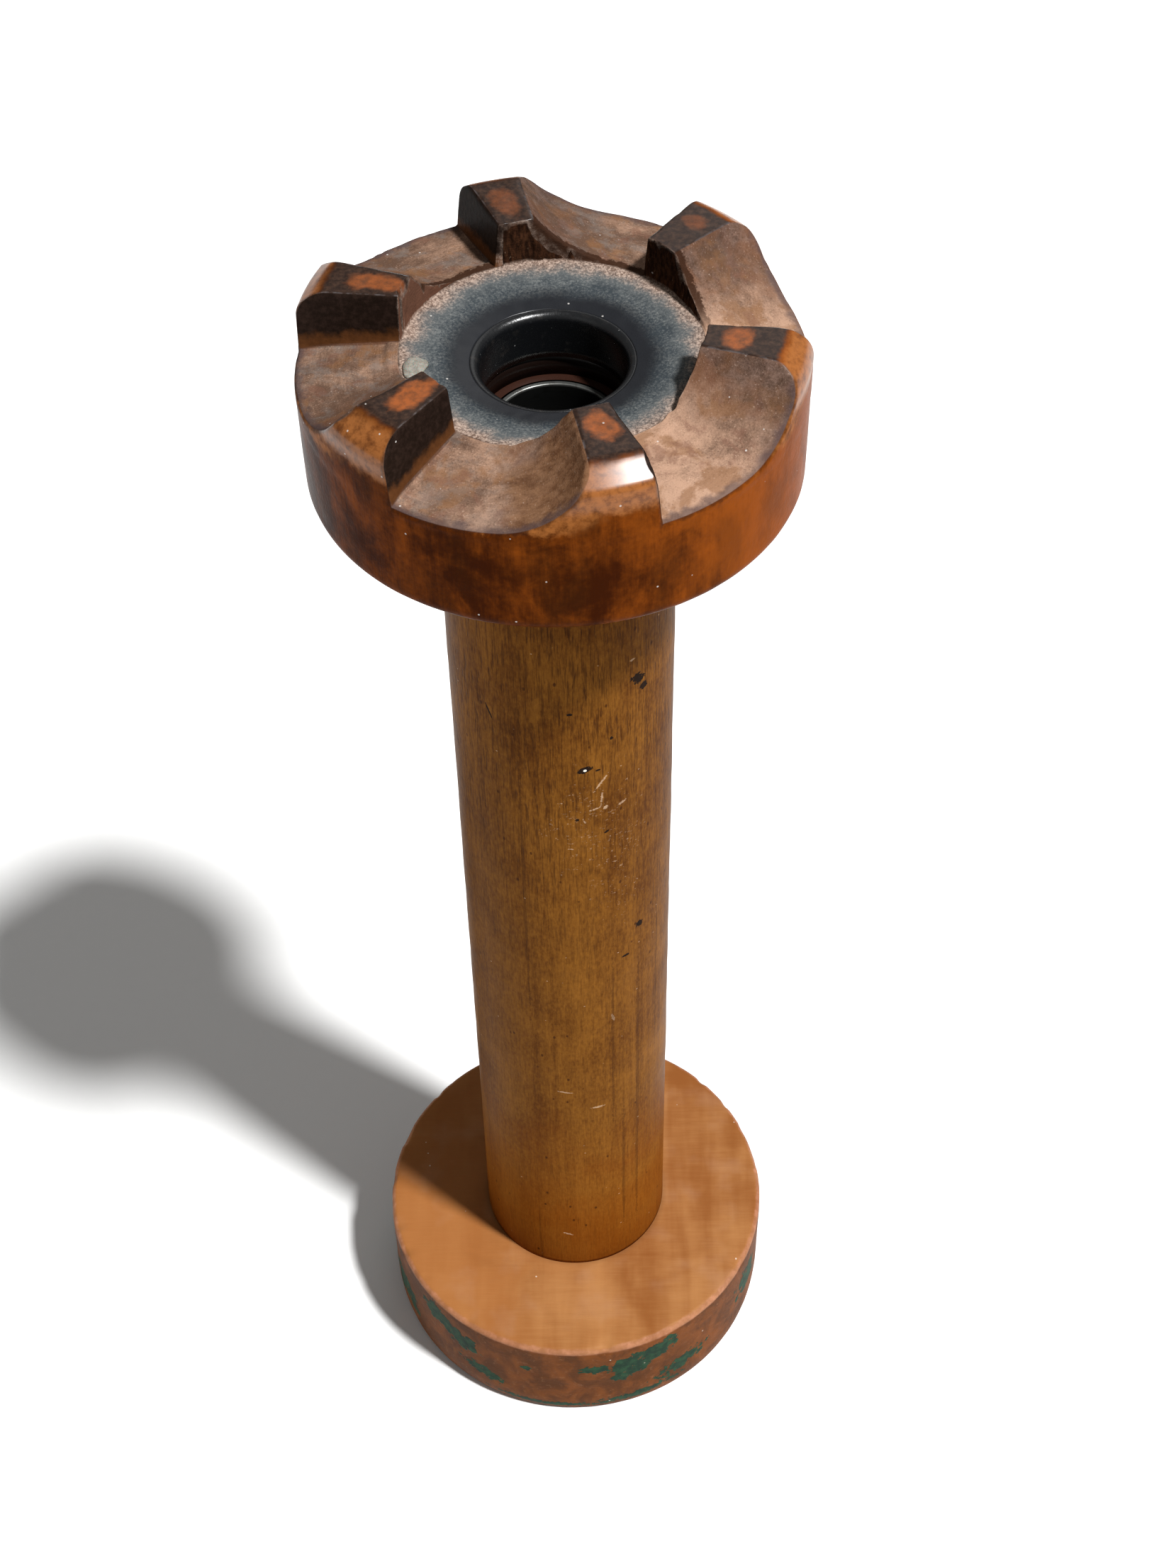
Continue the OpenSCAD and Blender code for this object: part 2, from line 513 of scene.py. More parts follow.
# Colours in linear light that no setting holds. A plural name holds a dark and a light tone.
STAIN = (0.035, 0.011, 0.002)
RED_WOOD = (0.13, 0.045, 0.017)
TOP_BROWN = (0.055, 0.028, 0.017)
ORANGES = (0.11, 0.032, 0.006), (0.30, 0.105, 0.026)
# painted highlight colour for the cut edges of the tooth tops
PAINTED_EDGE_HIGHLIGHT = (0.17, 0.155, 0.16)
HONEY = (0.21, 0.1, 0.045)
RUSTY = (0.16, 0.075, 0.05)
GREYED = (0.17, 0.145, 0.13)
# painted shade tones for the ramps
RAMP_SHADE_TONES = (0.045, 0.026, 0.018), (0.13, 0.082, 0.066)
RAMP_SHADE_BROWN = (0.135, 0.056, 0.027)
TANS = (0.11, 0.045, 0.018), (0.25, 0.125, 0.06)
PALE_SPECK, DARK_SPECK = (0.6, 0.48, 0.4), (0.05, 0.03, 0.022)
# painted shade colour for the crevice at the recess's edge
PAINTED_CREVICE_SHADE = (0.03, 0.012, 0.006)
RIM_DIRT = (0.06, 0.042, 0.045)
FACES = (0.012, 0.007, 0.005), (0.028, 0.016, 0.012)
FACE_FOOT = (0.12, 0.044, 0.014)
PINKS = (0.13, 0.08, 0.058), (0.50, 0.38, 0.31)
LIP_BLACK = (0.012, 0.013, 0.016)
# torn wood tones, painted dark for the shade in the recess
SHADED_TORN_WOODS = (0.016, 0.007, 0.004), (0.085, 0.034, 0.016)
TORN_PALE = (0.15, 0.07, 0.045)
SPLINTER = (0.4, 0.27, 0.18)
CROWN_DUST = (0.6, 0.57, 0.54)
# painted shade colour for the bore
PAINTED_BORE_SHADE = (0.008, 0.004, 0.003)
# painted glint colour for a chip
PAINTED_GLINT = (0.7, 0.68, 0.62)
# painted shade colour for the barrel inside the joints
PAINTED_SEAT_SHADE = (0.03, 0.012, 0.008)
WARM_TOP = (0.33, 0.125, 0.036)
BLOOM = (0.46, 0.29, 0.2)
SIDE_LIGHT = (0.36, 0.17, 0.085)
GREEN_DARK = (0.010, 0.028, 0.017)
EDGE_DARK = (0.25, 0.115, 0.075)
CONTACT = (0.1, 0.04, 0.015)
FOOT_DUST = (0.7, 0.6, 0.5)
WORN_BLACK = (0.06, 0.065, 0.07)
BROWN_DIRT = (0.035, 0.03, 0.026)
STEEL_DUST = (0.4, 0.4, 0.38)
TUBE_DARK = (0.012, 0.012, 0.011)


def crown_finish(c):
    """Varnished side, rubbed tooth tops, bare gullets, grimy faces and a sooty recess, with painted
    light on the side, painted edge highlights and painted shade on the ramps, walls, crevice and
    bore.
    """
    f = Finish("crown_wood")
    top_z, rim_r, recess = CROWN_HIGH[2], CROWN_HIGH[0], c.recess_radius / MM
    da, e, way = f.split(f.attribute("cut"))
    oval, rub_share, to_ramp = f.split(f.attribute("top"))
    sweep = f.attribute("sweep")
    wall, along_cut, _ = f.split(f.attribute("zone"))
    fine = f.noise(0.5, 3)
    medium = f.noise(2.2)
    broad = f.noise(3.4, 2, 0.5)
    wander = medium - 0.5

    cut = f.step(e - da, -0.12, 0.12)
    face = cut * f.step(way, -0.15, 0.25)
    bare = cut * (1 - face)

    # varnished side: soft patches, faint upright streaks, and painted light that lightens it
    # towards +X, the side the key lamp falls on
    upright = f.tall(0.12)
    streak = f.noise(2, on=upright)
    hair = f.noise(0.35, 3, on=upright)
    patch = f.noise(9, 4, 0.6, 0.5, on=f.tall(0.8))
    mottle = f.noise(1.1, 4, 0.65)
    # painted light: the varnish is lightened towards +X, where the key lamp falls
    painted_light_plus_x = f.step(f.x, 2, 34, 0.3)
    tone = streak * 0.3 + patch * 0.8 + hair * 0.12 + mottle * 0.22 + painted_light_plus_x
    varnish = f.mix(f.step(tone, 0.58, 1.06), c.varnish_dark, c.varnish_light)
    stain = f.step(f.noise(8, 5, 0.6, 0.2, on=f.tall(0.5)), 0.46, 0.66, 0.35)
    varnish = f.mix(stain, varnish, STAIN)

    # tooth tops: an oval rubbed to bright wood inside a dark border, and rubbed shoulders
    inside = oval + wander * 0.9 + (broad - 0.5) * 0.9
    flat_top = f.step(f.z, top_z - 2.4, top_z - 0.9)
    rub_tone = f.noise(1.3, 4, 0.65)
    in_back = f.step(f.y, 12, 26, 0.35)
    worn = f.step(inside, 1.15, 0.65) * rub_share * (rub_tone * 0.6 + 0.62)
    red = f.mix(f.step(rub_tone + wander * 0.5, 0.15, 0.7), RED_WOOD, c.rubbed)
    border = f.mix(f.step(f.noise(0.9, 4, 0.65), 0.35, 0.75), c.grime, TOP_BROWN)
    top_colour = f.mix(worn * (1 - in_back) * flat_top, border, red)
    lift = f.z + wander * 5
    shoulder = f.step(f.r - wander, rim_r - 4.4, rim_r - 2.6)
    shoulder *= f.step(lift, top_z - 8, top_z - 5.6)
    beside = f.step(to_ramp + wander * 5, 6, 2) * f.step(lift, top_z - 10.5, top_z - 9)
    beside *= f.step(f.r, rim_r - 3, rim_r - 1)
    orange = f.mix(f.step(rub_tone + patch * 0.4, 0.45, 0.85), *ORANGES)
    side_colour = f.mix(f.either(shoulder, beside) * 0.9, varnish, orange)
    top_share = f.step(f.r - wander * 1.5, rim_r - 3.4, rim_r - 4.6)
    near_cut = f.step(wander * 1.6 - e, 0.9, 0) * f.step(f.z, top_z - 13, top_z - 11)
    # painted highlight: a grey-blue gloss tint on the tooth tops along their cut edges
    corner = f.step(e, -0.6, -0.1) * f.step(f.z, top_z - 3.4, top_z - 1.4)
    corner *= f.step(medium, 0.46, 0.6)
    skin = f.over(
        side_colour,
        (top_share * f.step(f.z, top_z - 13, top_z - 8), top_colour),
        (near_cut * 0.7, c.grime), (corner * 0.6, PAINTED_EDGE_HIGHLIGHT),
    )

    # bare gullets: fibres that follow the cutter, dirty near the rim, with painted shade that
    # darkens them up the ramps
    fibre = f.noise(0.3, 3, on=f.scaled(sweep, (1, 1, 0.1)))
    fibre_wide = f.noise(1.3, 5, 0.65, on=f.scaled(sweep, (1, 1, 0.2)))
    dirt = f.noise(7, 5, 0.62, 0.4)
    speckle = f.noise(0.3, 2, 0.7)
    # darker and greyer towards the back left
    towards_back_left = f.step(f.y * 0.6 - f.x, -34, 14)
    tone = fibre * 0.2 + fibre_wide * 0.4 + dirt * 1.3 + speckle * 0.45
    # painted shade: the gullets get darker up the ramps
    tone = tone - f.step(along_cut, 0.2, 0.8, 0.3) - towards_back_left * 0.42
    honey = f.step(f.noise(6, 4, 0.6, 0.4), 0.5, 0.62, 0.62)
    rusty = f.step(f.noise(5, 5, 0.66, 0.5), 0.52, 0.64, 0.5)
    greyed = f.step(f.noise(4.2, 5, 0.65, 0.3), 0.48, 0.64, 0.5)
    # painted shade: shaded tones laid over the ramps towards their tops
    climb = f.step(along_cut + wander * 0.3 + (dirt - 0.5) * 0.8, 0.32, 0.74, 0.82)
    ramp_shade_tone = f.mix(f.step(fibre_wide + speckle * 0.4 + dirt * 0.6, 0.75, 1.25), *RAMP_SHADE_TONES)
    browner = f.step(f.noise(11, 4, 0.6, 0.3), 0.44, 0.6, 0.75)
    from_patch = f.far(f.x - 2, f.y + 32)
    tan_patch = f.step(from_patch + (dirt - 0.5) * 12, 10.5, 6, 0.7)
    # painted shade: a dark strip along the torn edge of the recess at the back, standing in for the
    # shadowed crevice
    torn = f.r + (f.noise(0.9, 4, 0.7) - 0.5) * 3
    crevice_shade = f.step(torn, recess + 1.7, recess + 1.3) * f.step(f.y, 3, 10, 0.9)
    rim = f.step(wander * 3.6 - f.r + rim_r, 1.9, 0.3, 0.7)
    wood = f.over(
        f.mix(f.step(tone, 0.55, 1.3), c.bare_dark, c.bare_light),
        (honey, HONEY), (rusty, RUSTY), (greyed * towards_back_left, GREYED),
        (climb, f.mix(browner, ramp_shade_tone, RAMP_SHADE_BROWN)),
        (tan_patch, f.mix(f.step(fibre_wide, 0.3, 0.7), *TANS)),
        (f.step(speckle, 0.64, 0.78, 0.4), PALE_SPECK),
        (f.step(speckle, 0.4, 0.26, 0.35), DARK_SPECK),
        (crevice_shade, PAINTED_CREVICE_SHADE), (rim, RIM_DIRT),
    )

    # steep faces: nearly black, with a redder strip along the foot
    face_tone = f.noise(1, 4, 0.7)
    foot = f.step(way + wander * 3.4, 2.6, 1) * (face_tone * 0.7 + 0.35)
    faces = f.mix(foot, f.mix(f.step(face_tone, 0.35, 0.8), *FACES), FACE_FOOT)

    # the recess: soot round the mouth that fades to pink bare wood at its edge
    fog = f.noise(3.6)
    drift = (fog - 0.5) * 3
    speck = f.noise(0.42, 4, 0.75)
    near_in = f.r - drift
    sooty = f.over(
        f.mix(f.step(speck * 0.75 + fog * 0.3, 0.42, 0.8), c.soot, c.ash),
        (f.step(f.r + drift, 17.5, 21, 0.35), c.ash), (f.step(near_in, 18, 14.2), LIP_BLACK),
    )
    edge = f.r + (fog - 0.5) * 6 + (speck - 0.5) * 3
    pink = f.mix(f.step(speck, 0.36, 0.68), *PINKS)
    floor = f.mix(f.step(edge, recess, recess - 3.8), pink, sooty)
    in_floor = f.step(f.r + wander * 0.8, recess + 0.3, recess - 0.3)

    # torn wall between the recess and the teeth: torn wood, painted near black for the shade down
    # in the recess
    wall_tone = f.noise(0.7, 4, 0.7, on=f.tall(0.35))
    shaded_walls = f.over(
        f.mix(f.step(wall_tone, 0.35, 0.8), *SHADED_TORN_WOODS),
        (f.step(f.x, -14, -20, 0.75), TORN_PALE),
        (f.step(f.noise(0.3, 2, on=f.tall(0.3)), 0.68, 0.76, 0.45), SPLINTER),
    )

    # painted shade: the bore below the mouth is painted near black
    bore = f.step(f.r, 13.2, 13) * f.step(f.z, FERRULE_HIGH[2] - 0.6, FERRULE_HIGH[2] - 1)
    dust = f.specks(f.place, 2.6, (0.075, 0.045), (0.66, 0.7))
    paint = f.over(
        skin, (bare, wood), (face, faces), (in_floor, floor), (wall, shaded_walls),
        (dust * 0.7, CROWN_DUST), (bore, PAINTED_BORE_SHADE),
    )

    gloss_lip = in_floor * f.step(near_in, 16.2, 14.2)
    matt = f.either(f.either(bare, in_floor), wall) * (1 - gloss_lip * 0.85)
    rough = (fine * 0.16 + 0.24 + face * 0.12) * (1 - matt) + matt * 0.8
    skin_bump = hair * 0.15 + f.noise(0.8, 3) * 0.3
    grain = fibre * 0.5 + speckle * 0.5
    height = grain * matt + skin_bump * (1 - matt) + speck * in_floor * 0.8
    polish = f.either(top_share, shoulder) * f.step(f.z, top_z - 8, top_z - 5) * (1 - cut)
    polish = f.either(polish, gloss_lip) * (1 - wall)
    return f.surface(
        Base_Color=paint, Roughness=rough, Normal=f.bump(height, 0.2, 0.7), IOR=1.06,
        Coat_Weight=polish * 0.65, Coat_Roughness=0.28,
    )


# Ovals on a round surface: direction in degrees, height, half width, half height, raggedness, turn
CHIPS = (
    (-49.2, 200.2, 0.95, 1, 3.4, 20), (-46.4, 199.8, 0.9, 0.7, 3.4, 30),
    (-44.4, 197.6, 0.75, 0.8, 2.2, -20), (-78.3, 182.8, 1.35, 0.7, 1.4, 16),
    (-71.4, 182.2, 0.45, 0.22, 0.6, 10), (-85.3, 196.5, 0.5, 0.28, 1),
    (-46, 136, 0.75, 0.85, 2.2), (-55.7, 129.2, 0.9, 0.32, 1.4), (-82.5, 170.5, 0.3, 0.3, 0.6),
    (-67, 166, 0.5, 0.25, 0.6, 30),
    (-128, 193.5, 0.18, 1.7, 0.8, 24), (-64, 189, 0.3, 0.35, 1),
)
SCUFFS = (
    (-70, 178.8, 0.2, 1.9, 3.4, -34), (-69.4, 175, 0.18, 1.5, 3.4, -6),
    (-72.6, 172.6, 0.9, 0.18, 3.4, 12), (-67.2, 172.4, 0.5, 0.35, 3.4),
    (-79, 170, 0.16, 0.6, 3.6, 20), (-86, 163, 0.4, 0.16, 3.8, -10),
    (-58, 172, 0.8, 0.25, 2.4, 20), (-52, 205, 0.5, 0.2, 2.4, 10),
    (-93, 90, 1.4, 0.2, 2.4, -10), (-94, 38, 1.1, 0.25, 2.4, -20),
    (-74, 84, 1.3, 0.3, 2.6), (-64, 112, 0.25, 1.1, 2.6, 12),
)
STRIPES = (
    (-46.5, 84, 0.42, 46, 1.6), (-64, 104, 0.3, 26, 1.6), (-57, 60, 0.34, 22, 1.6),
    (-112, 150, 0.3, 34, 1.6), (-30, 120, 0.3, 30, 1.6), (96, 120, 0.4, 50, 1.6),
)
HAZE = ((-82, 170, 4.6, 9, 5), (-60, 160, 4, 14, 5))
SMEAR = (-102, 197, 0.9, 3.4, 1.4, -6)
# painted glint: a pale dot on the black chip at this place
CHIP_GLINT_SPOT = (-78.1, 182.7, 0.3, 0.28)
FLAKES = (
    (-73, 17.8, 4.6, 3.6, 2.6, 4), (-64.5, 20, 4.4, 3, 2.6, 24),
    (-84, 18.4, 3.6, 1.5, 2.6, -6), (-76, 14, 2.2, 2, 2.6, 20),
    (-56, 9.6, 5.6, 2.2, 3.4, 14), (-70, 4.2, 9, 1.3, 3.4, 4),
    (-136, 20, 4.8, 3.2, 2.6, -30), (-127, 17, 4.2, 3, 2.6, -20),
    (-105, 17.2, 1.1, 0.9, 1.8), (-119, 9, 5, 1.8, 3.4, -16),
    (-100, 3, 12, 0.9, 3), (-22, 15, 6, 4, 3.4), (-158, 12, 7, 4.5, 3),
    (24, 9, 11, 6, 2.6), (58, 17, 5, 3, 2.4, 10),
    (100, 7, 13, 4, 2.2, -8), (146, 18, 4.6, 2.4, 2.4, 16),
    (176, 6, 9, 3, 2.4), (122, 16, 2.2, 1.6, 2),
)


def barrel_finish(c):
    """Upright grain with short dark flecks, a few filled chips, pale scuffs, painted shade under
    the crown and in the joints, and a painted glint.
    """
    f = Finish("barrel_wood")
    radius = BARREL_HIGH[0]
    upright = f.tall(0.035)
    wide = f.noise(5, 4, 0.6, 0.3, on=upright)
    streak = f.noise(1.1, on=upright)
    hair = f.noise(0.32, 3, on=f.tall(0.12))
    cloud = f.noise(16, 4, 0.6, 0.4)
    weave = f.noise(0.6, 4, 0.7, on=f.tall(0.5))
    tone = wide * 0.35 + streak * 0.3 + cloud * 0.6 + hair * 0.3 + weave * 0.6
    low = f.step(f.z + (cloud - 0.5) * 60, 90, 28, 0.6)
    # painted shade: the barrel darkens towards its top, under the crown
    high = f.step(f.z + (cloud - 0.5) * 30, 190, 232, 0.3)

    rays = f.step(f.noise(0.45, 2, 0.55, 0.15, on=f.tall(0.1)), 0.57, 0.68)
    rays *= f.step(f.noise(10, 2, 0.5), 0.3, 0.6)
    rays *= f.step(f.z, 110, 205, 0.75) + 0.25
    lines = f.step(f.noise(0.3, 3, 0.6, 0.1, on=f.tall(0.06)), 0.5, 0.62)
    lines *= f.step(f.z, 100, 200, 0.7) + 0.3
    pits = f.specks(f.tall(0.6), 2.6, (0.13, 0.07), (0.6, 0.64))
    seams = f.step(f.noise(2.4, 3, 0.6, 0.2, on=f.tall(0.02)), 0.62, 0.7)
    seams *= f.step(f.z, 150, 90)

    chips = f.spots(radius, CHIPS)
    scuffs = f.spots(radius, SCUFFS) * weave
    sprinkle = f.step(f.noise(0.7, 3, 0.7, on=f.tall(1.6)), 0.6, 0.68)
    wood = f.over(
        f.mix(f.step(tone, 0.78, 1.34), c.dark, c.light),
        (low, c.warm), (high, c.dark),
        (rays * 0.7, c.fleck), (lines * 0.55, c.fleck),
        (pits * 0.8, c.fleck), (seams * 0.5, c.fleck),
        (scuffs * 0.9, c.scuff), (f.spots(radius, STRIPES) * 0.4, c.fleck),
        (f.spots(radius, HAZE) * sprinkle * 0.3, c.scuff), (f.spot(radius, *SMEAR) * 0.3, c.light),
        # painted glint in a chip
        (chips * 0.95, c.chip), (f.spot(radius, *CHIP_GLINT_SPOT), PAINTED_GLINT),
        (f.specks(f.tall(2.2), 3.4, (0.07, 0.04), (0.7, 0.72)) * 0.6, c.scuff),
        # painted shade on the tenons and end faces inside the joints and the bore
        (f.step(f.r, radius - 0.6, radius - 2), PAINTED_SEAT_SHADE),
    )

    lathe_lines = f.noise(1.6, 3, on=f.scaled(f.place, (0.04, 0.04, 1)))
    rough = hair * 0.14 + 0.34 + chips * 0.15
    height = hair * 0.35 + lathe_lines * 0.35 - rays * 0.4 - chips * 1.6
    return f.surface(Base_Color=wood, Roughness=rough, Normal=f.bump(height, 0.14, 0.7), IOR=1.07)


def foot_finish(c):
    """A plain worn top with cross grain, a rubbed edge partly painted as a highlight, and flakes of
    green paint on the side.
    """
    f = Finish("foot_wood")
    top, rim_r = FOOT_HIGH[2], FOOT_HIGH[0]
    lying = f.scaled(f.place, (0.08, 1, 1))
    grain = f.noise(0.8, on=lying)
    hair = f.noise(0.3, 3, on=lying)
    band = f.noise(4.5, 3, 0.55, 0.3, on=f.scaled(f.place, (1, 0.12, 1)))
    cloud = f.noise(17, 3, 0.55, 0.4)
    tone = grain * 0.12 + band * 0.38 + cloud * 0.6 + hair * 0.1
    warm = f.step(f.noise(14, 3, 0.55, 0.5) * 30 - f.x * 0.42, 11, 27, 0.7)
    bloom = f.step(f.noise(9, 3, 0.5), 0.5, 0.75, 0.12)
    wood = f.over(f.mix(f.step(tone, 0.4, 0.84), c.dark, c.light), (warm, WARM_TOP), (bloom, BLOOM))

    wander = f.noise(2.6, 5, 0.68)
    side_tone = f.noise(6, 5, 0.65, 0.5, on=f.tall(0.8))
    side = f.mix(f.step(side_tone, 0.36, 0.68), c.side_dark, c.side)
    side = f.mix(f.step(f.noise(1.3, 4, 0.65), 0.55, 0.75, 0.22), side, SIDE_LIGHT)
    flaked_off = f.step(wander, 0.62, 0.66)
    on_side = f.step(f.r, rim_r - 3, rim_r - 1.5) * f.step(f.z, top - 1.2, top - 2)
    paint = f.spots(rim_r, FLAKES) * (1 - flaked_off) * on_side
    green = f.mix(f.step(f.noise(1.6), 0.35, 0.7), GREEN_DARK, c.paint)

    is_side = f.either(f.step(f.z, top - 1, top - 1.8), f.step(f.z, 0.5, 0.2))
    # rubbed upper edge, partly worn wood and partly a painted highlight along the bevel
    rubbed_edge_and_highlight = f.step(f.r + (wander - 0.5) * 0.9, rim_r - 1.1, rim_r - 0.5, 0.4)
    rubbed_edge_and_highlight *= f.step(f.z, top - 2, top - 1.2)
    contact = f.step(f.r + wander * 0.6, BARREL_HIGH[0] + 1.6, BARREL_HIGH[0] + 0.2, 0.25)
    skin = f.over(
        wood, (is_side, side), (paint, green),
        (rubbed_edge_and_highlight, f.mix(f.step(wander, 0.35, 0.7), EDGE_DARK, c.edge)), (contact, CONTACT),
        (f.specks(f.place, 4, (0.06, 0.035), (0.5, 0.55)) * 0.6, FOOT_DUST),
    )

    rough = hair * 0.16 + 0.36 + is_side * 0.1
    height = hair * 0.3 + grain * 0.25 + paint * 0.7 + side_tone * is_side * 0.8
    return f.surface(Base_Color=skin, Roughness=rough, Normal=f.bump(height, 0.16, 0.6), IOR=1.12)


def ferrule_finish(c):
    """Glossy black steel, worn and dusty inside."""
    f = Finish("ferrule_steel")
    fine = f.noise(0.45, 4, 0.7)
    cloud = f.noise(2.4, 3)
    skin = f.over(
        f.mix(f.step(fine, 0.6, 0.8, 0.35), c.black, WORN_BLACK),
        (f.step(cloud, 0.55, 0.75, 0.35), BROWN_DIRT),
        (f.specks(f.place, 1.5, (0.1, 0.05), (0.6, 0.7)) * 0.5, STEEL_DUST),
    )
    return f.surface(
        Base_Color=skin, Roughness=fine * 0.22 + 0.16, Normal=f.bump(fine, 0.05, 0.6),
        Specular_IOR_Level=0.6,
    )


def bush_finish(c):
    """Drawn steel tube, dull with lathe lines on its rim."""
    f = Finish("bush_steel")
    lines = f.noise(0.8, 3, on=f.scaled(f.place, (0.3, 0.3, 3)))
    ring = f.noise(0.18, 2, 0.5, on=f.joined(f.r, f.r, f.r))
    dirt = f.noise(1.4, 4, 0.65)
    inside = f.step(f.r, 9.5, 9.4, 0.95) * f.step(f.z, UPPER_HIGH[2] - 0.25, UPPER_HIGH[2] - 0.5)
    skin = f.over(c.steel, (f.step(dirt, 0.48, 0.72, 0.7), c.rust), (inside, TUBE_DARK))
    return f.surface(
        Base_Color=skin, Roughness=lines * 0.2 + 0.34, Metallic=0.85,
        Normal=f.bump(lines + ring, 0.03, 0.5),
    )


def wax_finish(c):
    """Old wax: translucent, greyish, with a soft sheen."""
    f = Finish("wax")
    cloud = f.noise(0.9, 3)
    skin = f.mix(f.step(cloud, 0.35, 0.7), c.colour, linear(150, 146, 136))
    return f.surface(
        Base_Color=skin, Roughness=cloud * 0.15 + 0.4, Normal=f.bump(cloud, 0.08, 0.6),
        Subsurface_Weight=0.35, Subsurface_Scale=0.002,
    )


# ---------------------------------------------------------------- the crown

def crown_columns(pitch, face_back):
    """Angles of the mesh columns over one tooth, in degrees from its steep face.

    They crowd together at the steep faces, at the foot of the ramp and at the top's edge."""
    stops = [
        (0.0, 1.2, 5), (1.2, 5.0, 6), (5.0, 20.0, 15), (20.0, pitch - 18.0, 30),
        (pitch - 18.0, pitch - 9.0, 22), (pitch - 9.0, pitch - face_back, 9),
        (pitch - face_back, pitch, 22),
    ]
    angles = []
    for low, high, count in stops:
        angles += list(np.linspace(low, high, count, endpoint=False))
    return np.array(angles)


HALVINGS = 26
DISH_POWER = 1.25

# For each tooth, anticlockwise from the first: where its rubbed oval lies from the axis, half its
# length, half its width as a share of the tooth's top, how far it is rubbed through, how deep its
# shoulder is bevelled, and how much higher the gullet before it runs out at the rim
WEAR = (
    (29.0, 4.3, 0.62, 0.6, 0.35, 1.5), (27.2, 4.6, 0.62, 0.75, 0.3, 1.6),
    (28.0, 4.8, 0.62, 1.0, 0.6, 1.0), (28.0, 3.1, 0.70, 0.95, 0.85, 0.0),
    (28.3, 2.4, 0.85, 0.9, 0.35, 0.0), (31.0, 1.8, 0.55, 0.5, 0.3, 0.4),
)


class CrownShape:
    """The crown's cut surface, as distances in millimetres: below 0 is wood."""

    def __init__(self, c):
        self.low, self.high = CROWN_LOW[2], CROWN_HIGH[2]
        self.rim = CROWN_HIGH[0]
        self.recess = c.recess_radius / MM
        self.floor = self.high - c.recess_depth / MM
        self.mouth = self.floor - c.recess_dish / MM
        self.drop = c.rim_drop / MM
        self.ramp = c.ramp_radius / MM
        self.shoulder = c.shoulder / MM
        self.wear = c.edge_wear / MM
        self.ragged = c.ragged / MM
        self.lean = c.face_lean
        self.teeth = c.teeth
        self.pitch = 2 * math.pi / c.teeth
        self.first = c.first_face
        middle = (self.rim + self.recess) / 2
        rise = c.recess_depth / MM + self.drop / 2
        self.tilt = math.atan(self.drop / (self.rim - self.recess))
        shift = math.asin(rise * math.tan(self.lean) / middle)
        self.turn = self.pitch - c.crest_angle - shift - c.ramp_skew
        length_run = math.sqrt(self.ramp ** 2 - (self.ramp - rise) ** 2)
        self.start = length_run - middle * math.sin(c.ramp_skew)
        self.middle = middle

    def floor_at(self, r):
        """Height of the recess's dished floor at a radius."""
        share_in = (self.recess - r) / (self.recess - FERRULE_HIGH[0])
        return self.floor + (self.mouth - self.floor) * share_in ** DISH_POWER

    def run_out(self, r, z, rise):
        """How much a gullet's floor is lifted on its way out to the rim."""
        out = (r - self.recess) / (self.rim - self.recess)
        return rise * out * np.clip((self.high - 1.0 - z) / 7.0, 0, 1)

    def gullet(self, r, a, z):
        """(height over the gullet's floor and ramp, distance in front of its steep face)."""
        x, y = r * np.cos(a), r * np.sin(a)
        c, s = math.cos(self.tilt), math.sin(self.tilt)
        along = (x - self.recess) * c - (z - self.floor) * s + self.recess
        up = (x - self.recess) * s + (z - self.floor) * c
        side = y * math.cos(self.turn) - along * math.sin(self.turn) + self.start
        over = np.where(side > 0, self.ramp - np.hypot(side, up - self.ramp), up)
        ahead = y * math.cos(self.lean) + (z - self.floor + self.drop) * math.sin(self.lean)
        return over, ahead

    def blank(self, r, z):
        """Distance outside the turned blank."""
        return round_max(z - self.high, r - self.rim, self.shoulder)

    def cuts(self, r, local, z):
        """Distances at a point of one tooth's cell, local being its angle from the cell's face."""
        here = self.gullet(r, local, z)
        after = self.gullet(r, local - self.pitch, z)
        first, second = np.minimum(*here), np.minimum(*after)
        use = first >= second
        over = np.where(use, here[0], after[0])
        ahead = np.where(use, here[1], after[1])
        return over, ahead, first, second

    def outside(self, r, local, z, wear):
        """Distance outside the finished crown, without its recess."""
        here = self.gullet(r, local, z)
        after = self.gullet(r, local - self.pitch, z)
        skin = self.blank(r, z)
        for over, ahead in (here, after):
            hollow = -round_max(-over, -ahead, 0.35)
            skin = round_max(skin, hollow, wear)
        return skin

    def top(self, r, local, flat):
        """Height of the cut top, found by halving. flat holds the points on the blank's top."""
        low = np.full(r.shape, self.low + 8.0)
        high = np.full(r.shape, self.high + 0.3)
        dents = 0.16 + 0.10 * value_noise(flat, 7.0, 3) + 0.05 * value_noise(flat, 2.1, 5)
        wear = self.wear * (1.0 + 0.6 * value_noise(flat, 4.0, 7))
        chips = np.maximum(0, value_noise(flat, 1.3, 11) - 0.35) * 0.5
        fibres = 0.55 * value_noise(flat, 0.85, 13) + 0.75 * value_noise(flat, 2.6, 17) + 0.25
        torn = self.ragged * np.clip(fibres, 0, 1)
        for _ in range(HALVINGS):
            z = (low + high) / 2
            skin = self.outside(r, local, z, wear + chips)
            tear = self.recess + torn * np.exp(np.minimum(skin, 0) / 1.5) - r
            skin = round_max(skin, tear, 0.12)
            inside = skin < 0
            low = np.where(inside, z, low)
            high = np.where(inside, high, z)
        return (low + high) / 2 - dents


